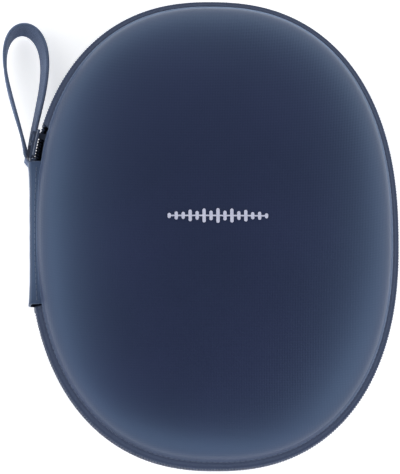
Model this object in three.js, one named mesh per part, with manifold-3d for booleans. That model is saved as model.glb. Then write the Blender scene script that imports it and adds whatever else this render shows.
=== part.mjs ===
// Hard-shell headphone carrying case: a zipped clamshell with a soft hinge and a carry loop.
// Millimetres, +Z up. The origin is the centre of the flat underside; the hinge is on the -X side.
import * as THREE from 'three';
import { mergeVertices } from 'three/addons/utils/BufferGeometryUtils.js';
import Module from 'manifold-3d';

const wasm = await Module();
wasm.setup();

// Outline of the zipper line, a superellipse.
const HALF_WIDTH = 85;
const HALF_LENGTH = 109;
const SQUARENESS = 2.33;
const SIDES = 44;

// Heights.
const PARTING_Z = 29.25;
const RIM_GAP = 6.5;
const CASE_HEIGHT = 58;
const DOME_POWER = 2.4;

// Layers of each half, measured inward from the outer skin.
const WALL_INSET = 4.2;
const COVER = { from: 0, to: 0.8 };
const SHELL = { from: 0.9, to: 4.4 };
const LINING = { from: 4.5, to: 5.5 };

// Outer line of the base wall, from the rim down to the edge of the flat underside.
const BASE_WALL = [
  [WALL_INSET, PARTING_Z - RIM_GAP],
  [4.4, 16],
  [5.3, 10],
  [7, 5.6],
  [10.3, 2],
  [16.6, 0],
];

// Where the lid dome is sampled, as shares of its width.
const DOME_STEPS = [1, 0.992, 0.955, 0.87, 0.7, 0.4];

// Soft hinge panel. The lid turns about a line just outside its face.
const SPINE_HALF_LENGTH = 33;
const SPINE_FACE_X = -84.3;
const SPINE_THICKNESS = 1;

// Zipper. The slider parks beside the upper end of the hinge panel.
const CHAIN_START_Y = 34.3;
const SLIDER_Y = 42;
const SLIDER_LENGTH = 12;
const LID_CHAIN_START_Y = 49.4;
const STOP_LENGTH = 2;
const TRACK_CENTRE = [15.34, 21.96];
const TRACK_RADIUS = 98.25;
const PULL_PIN = { along: 3.6, out: 2, radius: 0.42 };

// Carry loop: a flat strap folded into a drop shape.
const LOOP_ROOT = [-84.4, 36.5, 19];
const LOOP_LENGTH = 64.5;
const LOOP_HALF_WIDTH = 14;
const LOOP_DROOP = THREE.MathUtils.degToRad(11);
const LOOP_ROLL = THREE.MathUtils.degToRad(6);
const LOOP_FLARE = THREE.MathUtils.degToRad(10);
const LOOP_LEAN = THREE.MathUtils.degToRad(-1.5);
const STRAP_WIDTH = 10;
const STRAP_THICKNESS = 1.6;
const ANCHOR = { from: 25, to: 36.4, bottom: 13.4, low: 22.4, high: 24.4, thin: 1.6, past: 1.9 };

// Cushion that stands between the ear cups.
const PAD_CENTRE_Y = 12;
const PAD_HALF = [21, 33];
const PAD_BOTTOM = 5.6;
const PAD_TOP = 34;

// Net pocket across one end of the lid.
const POCKET_TOP_Y = 8;
const POCKET_Z = PARTING_Z + 8.6;
const POCKET_INSET = 13.2;

// Raised mark on the lid: a plain sound-wave of rounded bars.
const MARK_BARS = 15;
const MARK_PITCH = 3.15;
const MARK_BAR_WIDTH = 1.5;
const MARK_LINE = 0.6;
const MARK_HEIGHT = 6.8;
const MARK_CENTRE = [-0.3, 3.6];
const MARK_THICKNESS = 0.35;
const MARK_LIFT = 0.25;

const TAU = Math.PI * 2;

const navy = { color: 0x2f3450, roughness: 0.75, metalness: 0 };
const MATERIALS = {
  cover: navy,
  shell: { color: 0x1b1c22, roughness: 0.9, metalness: 0 },
  lining: { color: 0x22232c, roughness: 0.95, metalness: 0 },
  tape: { color: 0x333a58, roughness: 0.85, metalness: 0 },
  coil: { color: 0x262b42, roughness: 0.45, metalness: 0 },
  metal: { color: 0x2a2f45, roughness: 0.35, metalness: 0.6 },
  strap: { color: 0x4a5678, roughness: 0.8, metalness: 0 },
  mesh: { color: 0x2b2d38, roughness: 0.9, metalness: 0 },
  grip: { color: 0x23283c, roughness: 0.6, metalness: 0 },
  mark: { color: 0xd2d2e4, roughness: 0.5, metalness: 0 },
};

// ---- Outline -------------------------------------------------------------------------------

function outlineRadius(angle) {
  const x = Math.abs(Math.cos(angle) / HALF_WIDTH) ** SQUARENESS;
  const y = Math.abs(Math.sin(angle) / HALF_LENGTH) ** SQUARENESS;
  return (x + y) ** (-1 / SQUARENESS);
}

// A point on the outline seen from the centre at this angle, moved inward by `inset`.
function rim(angle, inset) {
  const x = outlineRadius(angle) * Math.cos(angle);
  const y = outlineRadius(angle) * Math.sin(angle);
  const nx = Math.sign(x) * Math.abs(x) ** (SQUARENESS - 1) / HALF_WIDTH ** SQUARENESS;
  const ny = Math.sign(y) * Math.abs(y) ** (SQUARENESS - 1) / HALF_LENGTH ** SQUARENESS;
  const length = Math.hypot(nx, ny);
  return [x - inset * nx / length, y - inset * ny / length];
}

// The angle, on the hinge side, at which the outline reaches this Y.
function hingeSideAngle(y) {
  const x = HALF_WIDTH * (1 - (Math.abs(y) / HALF_LENGTH) ** SQUARENESS) ** (1 / SQUARENESS);
  return Math.atan2(y, -x);
}

function wholeTurn() {
  return Array.from({ length: SIDES }, (_, i) => (i * TAU) / SIDES);
}

// Angles from one Y on the upper hinge side, clockwise round the front, to one Y on the lower.
// Between its ends it keeps the angles of a whole turn, so stacked pieces share their facets.
function chainAngles(fromY, toY) {
  const start = hingeSideAngle(fromY);
  const end = hingeSideAngle(toY);
  const between = wholeTurn()
    .map((angle) => (angle > Math.PI ? angle - TAU : angle))
    .filter((angle) => angle < start - 0.01 && angle > end + 0.01)
    .sort((a, b) => b - a);
  return [start, ...between, end];
}

// ---- Mesh helpers --------------------------------------------------------------------------

function signedVolume(points, faces) {
  let sum = 0;
  for (const [i, j, k] of faces) {
    const a = new THREE.Vector3(...points[i]);
    const b = new THREE.Vector3(...points[j]);
    sum += a.dot(b.cross(new THREE.Vector3(...points[k])));
  }
  return sum / 6;
}

function closedGeometry(points, faces) {
  const outward = signedVolume(points, faces) > 0;
  const order = outward ? faces : faces.map(([a, b, c]) => [a, c, b]);
  const geometry = new THREE.BufferGeometry();
  geometry.setAttribute('position', new THREE.Float32BufferAttribute(points.flat(), 3));
  geometry.setIndex(order.flat());
  return geometry;
}

// Joins neighbouring closed loops of points into a tube; `ring` closes the tube on itself.
function tube(rows, ring) {
  const count = rows[0].length;
  const points = rows.flat();
  const faces = [];
  const last = ring ? rows.length : rows.length - 1;
  for (let r = 0; r < last; r += 1) {
    const here = r * count;
    const next = ((r + 1) % rows.length) * count;
    for (let i = 0; i < count; i += 1) {
      const j = (i + 1) % count;
      faces.push([here + i, here + j, next + j], [here + i, next + j, next + i]);
    }
  }
  return { points, faces, count };
}

// A profile of [inset, z] points carried along the outline at these angles.
function sweptBand(profileAt, angles, ring) {
  const rows = angles.map((angle) =>
    profileAt(angle).map(([inset, z]) => [...rim(angle, inset), z]),
  );
  return cappedTube(rows, profileAt(angles[0]), ring);
}

// A tube of loops closed at both ends by triangles cut from its flat profile.
function cappedTube(rows, flatProfile, ring = false) {
  const { points, faces, count } = tube(rows, ring);
  if (!ring) {
    const flat = flatProfile.map(([u, v]) => new THREE.Vector2(u, v));
    const turn = THREE.ShapeUtils.isClockWise(flat) ? -1 : 1;
    const ordered = turn < 0 ? [...flat].reverse() : flat;
    const index = (i) => (turn < 0 ? count - 1 - i : i);
    const tail = (rows.length - 1) * count;
    for (const [a, b, c] of THREE.ShapeUtils.triangulateShape(ordered, [])) {
      const cap = [index(a), index(b), index(c)];
      faces.push(turn < 0 ? cap : [cap[0], cap[2], cap[1]]);
      faces.push((turn < 0 ? [cap[0], cap[2], cap[1]] : cap).map((i) => i + tail));
    }
  }
  return closedGeometry(points, faces);
}

// A bowl from rings of { inset, scale, z }, running from its outer pole round to its inner pole.
function bowl(rings, outerPoleZ, innerPoleZ) {
  const angles = wholeTurn();
  const points = rings.flatMap(({ inset, scale, z }) =>
    angles.map((angle) => {
      const [x, y] = rim(angle, inset);
      return [x * scale, y * scale, z];
    }),
  );
  const faces = [];
  for (let r = 0; r + 1 < rings.length; r += 1) {
    for (let i = 0; i < SIDES; i += 1) {
      const a = r * SIDES + i;
      const b = r * SIDES + ((i + 1) % SIDES);
      faces.push([a, b, b + SIDES], [a, b + SIDES, a + SIDES]);
    }
  }
  const outerPole = points.length;
  const innerPole = outerPole + 1;
  points.push([0, 0, outerPoleZ], [0, 0, innerPoleZ]);
  const lastRing = (rings.length - 1) * SIDES;
  for (let i = 0; i < SIDES; i += 1) {
    const j = (i + 1) % SIDES;
    faces.push([outerPole, j, i], [innerPole, lastRing + i, lastRing + j]);
  }
  return closedGeometry(points, faces);
}

function toManifold(geometry) {
  const bare = geometry.clone();
  bare.deleteAttribute('normal');
  bare.deleteAttribute('uv');
  const merged = mergeVertices(bare, 1e-4);
  return new wasm.Manifold(
    new wasm.Mesh({
      numProp: 3,
      vertProperties: merged.attributes.position.array,
      triVerts: Uint32Array.from(merged.index.array),
    }),
  );
}

function fromManifold(solid) {
  const mesh = solid.getMesh();
  const geometry = new THREE.BufferGeometry();
  geometry.setAttribute('position', new THREE.Float32BufferAttribute(mesh.vertProperties, 3));
  geometry.setIndex(Array.from(mesh.triVerts));
  return geometry;
}

function union(geometries) {
  return fromManifold(geometries.map(toManifold).reduce((sum, next) => sum.add(next)));
}

function part(name, geometry, material) {
  geometry.computeVertexNormals();
  const mesh = new THREE.Mesh(geometry, new THREE.MeshStandardMaterial(MATERIALS[material]));
  mesh.name = name;
  return mesh;
}

// ---- Shells --------------------------------------------------------------------------------

// Moves the wall line inward along its own normals.
function insetWall(distance) {
  return BASE_WALL.map(([inset, z], i) => {
    const before = BASE_WALL[Math.max(i - 1, 0)];
    const after = BASE_WALL[Math.min(i + 1, BASE_WALL.length - 1)];
    const run = after[0] - before[0];
    const drop = before[1] - after[1];
    const length = Math.hypot(run, drop);
    if (i === 0) return [inset + distance, z];
    if (i === BASE_WALL.length - 1) return [inset + distance / 2, z + distance];
    return [inset + (distance * drop) / length, z + (distance * run) / length];
  });
}

function baseLayer({ from, to }) {
  const outer = insetWall(from).map(([inset, z]) => ({ inset, scale: 1, z }));
  const inner = insetWall(to).map(([inset, z]) => ({ inset, scale: 1, z }));
  return bowl([...outer.reverse(), ...inner], from, to);
}

function domeRise(t) {
  return (1 - t ** DOME_POWER) ** (1 / DOME_POWER);
}

function lidLayer({ from, to }) {
  const edge = PARTING_Z + RIM_GAP;
  const side = (depth) => DOME_STEPS.map((t) => ({
    inset: WALL_INSET + depth,
    scale: t,
    z: edge + (CASE_HEIGHT - edge - depth) * domeRise(t),
  }));
  return bowl([...side(from).reverse(), ...side(to)], CASE_HEIGHT - from, CASE_HEIGHT - to);
}

// ---- Zipper --------------------------------------------------------------------------------

// Profiles are written for the base, as [inset, height from the parting plane].
const TAPE = [
  [WALL_INSET + 2.4, -6.4], [WALL_INSET + 0.1, -6.4], [0.5, -3.8], [0.5, -3],
  [1.3, -3], [1.3, -3.5], [WALL_INSET + 0.4, -5.6], [WALL_INSET + 2.4, -5.6],
];
const COIL = [
  [0.6, -2.9], [1.8, -2.9], [2.4, -2.3], [2.4, -0.8], [1.9, -0.3], [0.5, -0.3], [0, -0.8], [0, -2.3],
];
const BINDING = [
  [WALL_INSET + 2.5, -6.4], [WALL_INSET + 5.7, -6.4], [WALL_INSET + 5.7, -5.2],
  [WALL_INSET + 5, -4.6], [WALL_INSET + 3.2, -4.6], [WALL_INSET + 2.5, -5.2],
];

function placed(profile, upside = false) {
  return profile.map(([inset, height]) => [inset, PARTING_Z + (upside ? -height : height)]);
}

function band(profile, upside, angles, ring) {
  const line = placed(profile, upside);
  return sweptBand(() => line, angles, ring);
}

// The lid's tape is trimmed back to the wall where the slider parks.
function lidTape() {
  const root = [WALL_INSET + 0.6, -6];
  const trim = 0.8;
  const narrow = TAPE.map(([inset, height]) => [
    inset + (root[0] - inset) * (inset < 2 ? trim : 0),
    height + (root[1] - height) * (inset < 2 ? trim : 0),
  ]);
  const trimEnd = hingeSideAngle(LID_CHAIN_START_Y);
  const angles = [
    ...chainAngles(CHAIN_START_Y, LID_CHAIN_START_Y - 1),
    ...chainAngles(LID_CHAIN_START_Y, -CHAIN_START_Y),
  ];
  const full = placed(TAPE, true);
  const short = placed(narrow, true);
  return sweptBand((angle) => (angle > trimEnd + 1e-6 ? short : full), angles, false);
}

// Points on the slider's circular track: `along` it towards +Y, `out` from the outline.
function trackPoint(along, out) {
  const base = Math.asin((SLIDER_Y - TRACK_CENTRE[1]) / TRACK_RADIUS);
  const angle = Math.PI - base - along / TRACK_RADIUS;
  const radius = TRACK_RADIUS + out;
  return [
    TRACK_CENTRE[0] + radius * Math.cos(angle),
    TRACK_CENTRE[1] + radius * Math.sin(angle),
  ];
}

function trackBand(profile, from, to, steps) {
  const rows = Array.from({ length: steps + 1 }, (_, i) => {
    const along = from + ((to - from) * i) / steps;
    return profile.map(([out, height]) => [...trackPoint(along, out), PARTING_Z + height]);
  });
  return cappedTube(rows, profile);
}

function sliderBody() {
  const half = SLIDER_LENGTH / 2;
  const outerPlate = [
    [1.3, -3.9], [1.3, 3.9], [0.9, 4.3], [0, 4.3], [0, 3.2],
    [0.35, 3.2], [0.35, -3.2], [0, -3.2], [0, -4.3], [0.9, -4.3],
  ];
  const innerPlate = [
    [-4.3, -4.2], [-2.95, -4.2], [-2.95, -3.3], [-3.25, -3.3],
    [-3.25, 3.3], [-2.95, 3.3], [-2.95, 4.2], [-4.3, 4.2],
  ];
  const post = [[0.6, -0.2], [0.6, 0.2], [-3.4, 0.2], [-3.4, -0.2]];
  return union([
    trackBand(outerPlate, -half, half, 6),
    trackBand(innerPlate, -half, half, 6),
    trackBand(post, half - 3.4, half - 0.6, 2),
  ]);
}

// A plan outline of [along, out] points given a height.
function trackPlate(plan, bottom, top) {
  const loop = (height) => plan.map(([along, out]) => [...trackPoint(along, out), PARTING_Z + height]);
  return cappedTube([loop(bottom), loop(top)], plan);
}

function sliderCrown() {
  const arch = [
    [0.2, 1.4], [0.2, 2.9], [1, 3.6], [4.6, 3.6], [5.4, 2.9], [5.4, 1.4],
    [4.4, 1.4], [4.4, 2.6], [1.2, 2.6], [1.2, 1.4],
  ];
  return trackPlate(arch, -1.2, 1.2);
}

function pullTab() {
  const pin = Array.from({ length: 8 }, (_, i) => [
    PULL_PIN.along + PULL_PIN.radius * Math.cos((i * TAU) / 8),
    PULL_PIN.out + PULL_PIN.radius * Math.sin((i * TAU) / 8),
  ]);
  const arm = [[-1.4, 1.6], [3.8, 1.6], [4.1, 1.8], [4.1, 2.2], [3.8, 2.4], [-1.4, 2.4]];
  const tab = [[-7.4, 1.6], [-1.2, 1.6], [-1.2, 2.4], [-7.4, 2.4], [-7.9, 2]];
  return union([
    trackPlate(pin, -2, 2),
    trackPlate(arm, 1.35, 2.3),
    trackPlate(arm, -2.3, -1.35),
    trackPlate(tab, -2.6, 2.6),
  ]);
}

function pullGrip() {
  const pad = [[-7.4, 2.5], [-1.6, 2.5], [-1.6, 3.2], [-2.1, 3.7], [-6.9, 3.7], [-7.4, 3.2]];
  return trackPlate(pad, -2.4, 2.4);
}

// ---- Soft hinge ----------------------------------------------------------------------------

function spineStations() {
  const steps = 8;
  return Array.from({ length: steps + 1 }, (_, i) => SPINE_HALF_LENGTH * ((2 * i) / steps - 1));
}

// The panel bows out between the two rims, and swells a little where its ends are sewn.
function spineSection(y) {
  const [wallX] = rim(hingeSideAngle(y), WALL_INSET);
  const swell = 0.7 * (Math.abs(y) / SPINE_HALF_LENGTH) ** 6;
  const face = SPINE_FACE_X - swell;
  const back = face + SPINE_THICKNESS;
  const half = [
    [wallX + 2.1, 6.4], [wallX - 0.2, 6.4], [face + 0.7, 4.6], [face, 3.2],
  ];
  const inner = [
    [back, 3.0], [back + 0.6, 4.2], [wallX + 0.2, 5.6], [wallX + 2.1, 5.6],
  ];
  const flip = (list) => list.map(([x, height]) => [x, -height]).reverse();
  return [...half, ...flip(half), ...flip(inner), ...inner];
}

function spinePanel() {
  const stations = spineStations();
  const rows = stations.map((y) => spineSection(y).map(([x, height]) => [x, y, PARTING_Z + height]));
  return cappedTube(rows, spineSection(stations[0]));
}

function spineLining() {
  const back = SPINE_FACE_X + SPINE_THICKNESS;
  const section = [[back + 0.1, -2.9], [back + 0.9, -2.9], [back + 0.9, 2.9], [back + 0.1, 2.9]];
  const ends = [-SPINE_HALF_LENGTH + 2, 0, SPINE_HALF_LENGTH - 2];
  const rows = ends.map((y) => section.map(([x, height]) => [x, y, PARTING_Z + height]));
  return cappedTube(rows, section);
}

// ---- Carry loop ----------------------------------------------------------------------------

// Centre line of the drop shape: `turn` runs 0 to TAU from one end of the strap to the other.
function loopPoint(turn, across, up) {
  const s = Math.sin(turn / 2);
  const reach = 1.2 + LOOP_LENGTH * s * s;
  const start = 0.95 * Math.sign(Math.PI - turn) * (1 - s * s);
  const side = -(start + 2 * LOOP_HALF_WIDTH * s * Math.cos(turn / 2) * s * s);
  const local = new THREE.Vector3(side, reach, 0);
  const outward = loopOutward(turn);
  local.addScaledVector(outward, across * Math.cos(LOOP_FLARE) + up * Math.sin(LOOP_FLARE));
  local.z += up * Math.cos(LOOP_FLARE) - across * Math.sin(LOOP_FLARE);
  local.applyAxisAngle(new THREE.Vector3(0, 1, 0), LOOP_ROLL * Math.min(1, reach / 30));
  local.applyAxisAngle(new THREE.Vector3(1, 0, 0), -LOOP_DROOP);
  local.applyAxisAngle(new THREE.Vector3(0, 0, 1), -LOOP_LEAN);
  return [LOOP_ROOT[0] + local.x, LOOP_ROOT[1] + local.y, LOOP_ROOT[2] + local.z];
}

// Outward direction of the strap's face in the plane of the loop.
function loopOutward(turn) {
  const step = 0.01;
  const at = (t) => {
    const s = Math.sin(t / 2);
    return [-2 * LOOP_HALF_WIDTH * s ** 3 * Math.cos(t / 2), LOOP_LENGTH * s * s];
  };
  const [x0, y0] = at(Math.max(turn - step, 0.001));
  const [x1, y1] = at(Math.min(turn + step, TAU - 0.001));
  const tangent = new THREE.Vector3(x1 - x0, y1 - y0, 0).normalize();
  return new THREE.Vector3(-tangent.y, tangent.x, 0);
}

function carryLoop() {
  const steps = 36;
  const t = STRAP_THICKNESS / 2;
  const w = STRAP_WIDTH / 2;
  const corner = 0.35;
  const section = [
    [-t, -w + corner], [-t + corner, -w], [t - corner, -w], [t, -w + corner],
    [t, w - corner], [t - corner, w], [-t + corner, w], [-t, w - corner],
  ];
  const rows = Array.from({ length: steps + 1 }, (_, i) => {
    const turn = (TAU * i) / steps;
    return section.map(([across, up]) => loopPoint(turn, across, up));
  });
  return cappedTube(rows, section);
}


// The stitched patch that holds both ends of the strap to the base wall. It stands out from the
// wall more and more towards the strap.
function loopAnchor() {
  const steps = 4;
  const rows = Array.from({ length: steps + 1 }, (_, i) => {
    const share = i / steps;
    const y = ANCHOR.from + (ANCHOR.to - ANCHOR.from) * share;
    const [wallX] = rim(hingeSideAngle(y), WALL_INSET);
    const near = wallX - ANCHOR.thin;
    const top = share < 1 ? ANCHOR.low : ANCHOR.high;
    const outer = near + (LOOP_ROOT[0] - ANCHOR.past - near) * share ** 1.5;
    return [
      [wallX - 0.9, y, top - 1.2],
      [wallX - 0.25, y, top - 3],
      [wallX - 0.05, y, ANCHOR.bottom + 1.2],
      [outer + 0.8, y, ANCHOR.bottom],
      [outer, y, ANCHOR.bottom + 0.8],
      [outer, y, top - 0.8],
      [outer + 0.8, y, top],
    ];
  });
  return cappedTube(rows, rows[0].map(([x, , z]) => [x, z]));
}

// ---- Inside --------------------------------------------------------------------------------

// The cushion that fills the gap between the folded ear cups.
function dividerPad() {
  const sides = 28;
  const levels = [
    [0.93, 0], [0.98, 0.07], [1, 0.3], [0.95, 0.7], [0.86, 0.88], [0.68, 0.97], [0.4, 1],
  ];
  const rows = levels.map(([scale, rise]) =>
    Array.from({ length: sides }, (_, i) => {
      const angle = (TAU * i) / sides;
      const x = PAD_HALF[0] * scale * Math.sign(Math.cos(angle)) * Math.abs(Math.cos(angle)) ** 0.8;
      const y = PAD_HALF[1] * scale * Math.sign(Math.sin(angle)) * Math.abs(Math.sin(angle)) ** 0.8;
      return [x, PAD_CENTRE_Y + y, PAD_BOTTOM + (PAD_TOP - PAD_BOTTOM) * rise];
    }),
  );
  return cappedTube(rows, rows[0].map(([x, y]) => [x, y]));
}

function pocketAngles() {
  const start = Math.PI - hingeSideAngle(POCKET_TOP_Y);
  const end = -Math.PI - start;
  const steps = 26;
  return Array.from({ length: steps + 1 }, (_, i) => start + ((end - start) * i) / steps);
}

function pocketMesh() {
  const edge = pocketAngles().map((angle) => rim(angle, POCKET_INSET));
  const loop = (z) => edge.map(([x, y]) => [x, y, z]);
  return cappedTube([loop(POCKET_Z), loop(POCKET_Z + 0.5)], edge);
}

function pocketBinding() {
  const section = [
    [POCKET_INSET - 0.3, -0.2], [POCKET_INSET - 0.3, 0.6], [POCKET_INSET - 0.8, 1],
    [POCKET_INSET - 1.4, 0.6], [POCKET_INSET - 1.4, -0.6], [POCKET_INSET - 0.8, -1.1],
    [POCKET_INSET + 1, -1.1], [POCKET_INSET + 1.4, -0.6], [POCKET_INSET + 1, -0.2],
  ].map(([inset, height]) => [inset, POCKET_Z + height]);
  return sweptBand(() => section, pocketAngles(), false);
}

function pocketElastic() {
  const [halfSpan] = rim(pocketAngles()[0], POCKET_INSET);
  const section = [
    [0.1, -1.4], [1, -1.8], [7, -1.8], [7.6, -1.4], [7.6, 1.6], [7, 2], [1, 2], [0.1, 1.6],
  ];
  const steps = 6;
  const rows = Array.from({ length: steps + 1 }, (_, i) => {
    const x = (halfSpan - 1.8) * ((2 * i) / steps - 1);
    return section.map(([y, height]) => [x, POCKET_TOP_Y + y, POCKET_Z + height]);
  });
  return cappedTube(rows, section);
}

// ---- Mark ----------------------------------------------------------------------------------

function lidHeight(x, y) {
  const edge = PARTING_Z + RIM_GAP;
  const angle = Math.atan2(y, x);
  const [ex, ey] = rim(angle, WALL_INSET);
  const t = Math.hypot(x, y) / Math.hypot(ex, ey);
  return edge + (CASE_HEIGHT - edge) * domeRise(Math.min(t, 1));
}

// Bars of different heights, joined by a thin line, laid on the dome.
function lidEmblem() {
  const top = [];
  const half = MARK_BAR_WIDTH / 2;
  for (let i = 0; i < MARK_BARS; i += 1) {
    const x = (i - (MARK_BARS - 1) / 2) * MARK_PITCH;
    const swell = Math.sin((Math.PI * (i + 1)) / (MARK_BARS + 1));
    const beat = i % 2 ? 1 : 0.55;
    const rise = (MARK_HEIGHT / 2) * (0.26 + 0.74 * swell * beat);
    const shoulder = rise - half * 0.7;
    top.push([x - half, MARK_LINE / 2], [x - half, shoulder], [x - half * 0.55, rise - 0.15]);
    top.push([x, rise], [x + half * 0.55, rise - 0.15], [x + half, shoulder], [x + half, MARK_LINE / 2]);
  }
  const bottom = top.map(([x, y]) => [x, -y]).reverse();
  const plan = [...top, ...bottom];
  const loop = (lift) => plan.map(([px, py]) => {
    const x = MARK_CENTRE[0] + px;
    const y = MARK_CENTRE[1] + py;
    return [x, y, lidHeight(x, y) + lift];
  });
  return cappedTube([loop(MARK_LIFT), loop(MARK_LIFT + MARK_THICKNESS)], plan);
}

// ---- Assembly ------------------------------------------------------------------------------

function base() {
  const chain = chainAngles(CHAIN_START_Y, -CHAIN_START_Y);
  const coil = chainAngles(CHAIN_START_Y, -CHAIN_START_Y - STOP_LENGTH - 0.1);
  const stop = chainAngles(-CHAIN_START_Y - STOP_LENGTH, -CHAIN_START_Y);
  const group = new THREE.Group();
  group.add(
    part('base_cover', baseLayer(COVER), 'cover'),
    part('base_shell', baseLayer(SHELL), 'shell'),
    part('base_lining', baseLayer(LINING), 'lining'),
    part('base_zipper_tape', band(TAPE, false, chain, false), 'tape'),
    part('base_zipper_coil', band(COIL, false, coil, false), 'coil'),
    part('base_end_stop', band(COIL, false, stop, false), 'metal'),
    part('base_binding', band(BINDING, false, wholeTurn(), true), 'tape'),
    part('spine_panel', spinePanel(), 'cover'),
    part('spine_lining', spineLining(), 'lining'),
    part('loop_anchor', loopAnchor(), 'strap'),
    part('divider_pad', dividerPad(), 'lining'),
  );
  return group;
}

function lid() {
  const coil = chainAngles(LID_CHAIN_START_Y, -CHAIN_START_Y - STOP_LENGTH - 0.1);
  const stop = chainAngles(-CHAIN_START_Y - STOP_LENGTH, -CHAIN_START_Y);
  const group = new THREE.Group();
  group.add(
    part('lid_cover', lidLayer(COVER), 'cover'),
    part('lid_shell', lidLayer(SHELL), 'shell'),
    part('lid_lining', lidLayer(LINING), 'lining'),
    part('lid_zipper_tape', lidTape(), 'tape'),
    part('lid_zipper_coil', band(COIL, true, coil, false), 'coil'),
    part('lid_end_stop', band(COIL, true, stop, false), 'metal'),
    part('lid_binding', band(BINDING, true, wholeTurn(), true), 'tape'),
    part('pocket_mesh', pocketMesh(), 'mesh'),
    part('pocket_binding', pocketBinding(), 'tape'),
    part('pocket_elastic', pocketElastic(), 'tape'),
    part('lid_emblem', lidEmblem(), 'mark'),
  );
  return group;
}

function slider() {
  const group = new THREE.Group();
  group.add(
    part('slider_body', sliderBody(), 'metal'),
    part('slider_crown', sliderCrown(), 'metal'),
    part('pull_tab', pullTab(), 'metal'),
    part('pull_grip', pullGrip(), 'grip'),
  );
  return group;
}

const headphoneCase = new THREE.Group();
headphoneCase.add(base(), lid(), slider(), part('carry_loop', carryLoop(), 'strap'));

export default headphoneCase;
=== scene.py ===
"""Headphone carrying case: the fine surfaces, materials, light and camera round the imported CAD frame."""

import math

import bmesh
import bpy
import numpy as np
from mathutils import Matrix, Vector


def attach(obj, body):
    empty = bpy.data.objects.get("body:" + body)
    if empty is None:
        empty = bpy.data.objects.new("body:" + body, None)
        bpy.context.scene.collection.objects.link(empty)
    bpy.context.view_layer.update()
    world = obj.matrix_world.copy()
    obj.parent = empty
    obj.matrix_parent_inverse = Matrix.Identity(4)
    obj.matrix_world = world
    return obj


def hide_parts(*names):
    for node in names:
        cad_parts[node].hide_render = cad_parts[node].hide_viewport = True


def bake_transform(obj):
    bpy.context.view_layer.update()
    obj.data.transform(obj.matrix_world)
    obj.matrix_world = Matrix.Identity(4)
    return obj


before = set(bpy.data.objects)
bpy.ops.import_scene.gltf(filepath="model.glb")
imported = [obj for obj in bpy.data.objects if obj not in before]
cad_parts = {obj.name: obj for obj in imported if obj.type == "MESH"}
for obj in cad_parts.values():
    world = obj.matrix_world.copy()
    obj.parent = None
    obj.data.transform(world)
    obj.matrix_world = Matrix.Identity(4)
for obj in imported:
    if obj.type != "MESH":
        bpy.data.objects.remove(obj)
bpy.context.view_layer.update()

MM = 0.001
TAU = 2 * math.pi

# Outline and heights of the case, in millimetres, as in the CAD part.
HALF_WIDTH = 85.0
HALF_LENGTH = 109.0
SQUARENESS = 2.33
PARTING_Z = 29.25
RIM_GAP = 6.5
CASE_HEIGHT = 58.0
DOME_POWER = 2.4
WALL_INSET = 4.2
SIDES = 288

# Layers of each half: how deep each starts below the skin, and its thickness.
COVER_LAYER = (0.0, 0.8)
LINING_LAYER = (4.5, 1.0)

# Outer line of the base wall as (inset, height), and the moulded edge near both rims.
BASE_WALL = [(WALL_INSET, PARTING_Z - RIM_GAP), (4.4, 16), (5.3, 10), (7, 5.6), (10.3, 2), (16.6, 0)]
LIP_HEIGHT = 1.8
LIP_OUT = 0.8

# Soft hinge.
SPINE_HALF = 33.0
SPINE_FACE_X = -84.3
SPINE_THICKNESS = 1.0
SPINE_END_TUCK = 0.3
SPINE_LINING_X = (-83.2, -82.4)
SPINE_LINING_HALF = (31.0, 2.9)

# Zipper.
CHAIN_START_Y = 34.3
LID_CHAIN_START_Y = 49.4
STOP_LENGTH = 2.0
TOOTH_PITCH = 1.36
TOOTH_WIDTH = 2.72
TOOTH_GAP = 0.22

# Tape and binding profiles of the base, as (inset, height from the parting plane). The lid's are
# the same turned upside down.
TAPE_LINE = [
    (WALL_INSET + 2.4, -6.4), (WALL_INSET + 0.1, -6.4), (0.5, -3.8), (0.5, -3),
    (1.3, -3), (1.3, -3.5), (WALL_INSET + 0.4, -5.6), (WALL_INSET + 2.4, -5.6),
]
BINDING_LINE = [
    (WALL_INSET + 2.5, -6.4), (WALL_INSET + 5.7, -6.4), (WALL_INSET + 5.7, -5.2),
    (WALL_INSET + 5, -4.6), (WALL_INSET + 3.2, -4.6), (WALL_INSET + 2.5, -5.2),
]

# Stitches: spacing, length, and the two half widths of the thread.
STITCH_PITCH = 2.6
STITCH_LENGTH = 1.9
THREAD_SIZE = (0.2, 0.16)

# Carry loop. Its drop shape reaches 0.65 of LOOP_HALF_WIDTH to each side. Its two ends lie side by
# side, LOOP_END_OFFSET either side of its middle and LOOP_END_REACH out from LOOP_ROOT.
LOOP_ROOT = (-84.4, 36.5, 19.0)
LOOP_LENGTH = 64.5
LOOP_HALF_WIDTH = 14.0
LOOP_DROOP = math.radians(11)
LOOP_ROLL = math.radians(6)
LOOP_FLARE = math.radians(10)
LOOP_LEAN = math.radians(-1.5)
LOOP_END_OFFSET = 0.95
LOOP_END_REACH = 1.2
STRAP_HALF_WIDTH = 5.0
STRAP_HALF_THICKNESS = 0.72

# Raised mark.
MARK_BARS = 15
MARK_PITCH = 3.15
MARK_BAR_WIDTH = 1.5
MARK_LINE = 0.6
MARK_HEIGHT = 6.8
MARK_CENTRE = (-0.3, 3.6)
MARK_LIFT = 0.42
MARK_SINK = 0.1

# Pocket and cushion.
POCKET_TOP_Y = 8.0
POCKET_Z = PARTING_Z + 8.6
POCKET_INSET = 13.2
NET_CENTRE_Y = -28.0
NET_SAG = 0.9
NET_THICKNESS = 0.45
PAD_CENTRE_Y = 12.0
PAD_HALF = (21.0, 33.0)
PAD_BOTTOM = 5.6
PAD_TOP = 34.0

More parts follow.
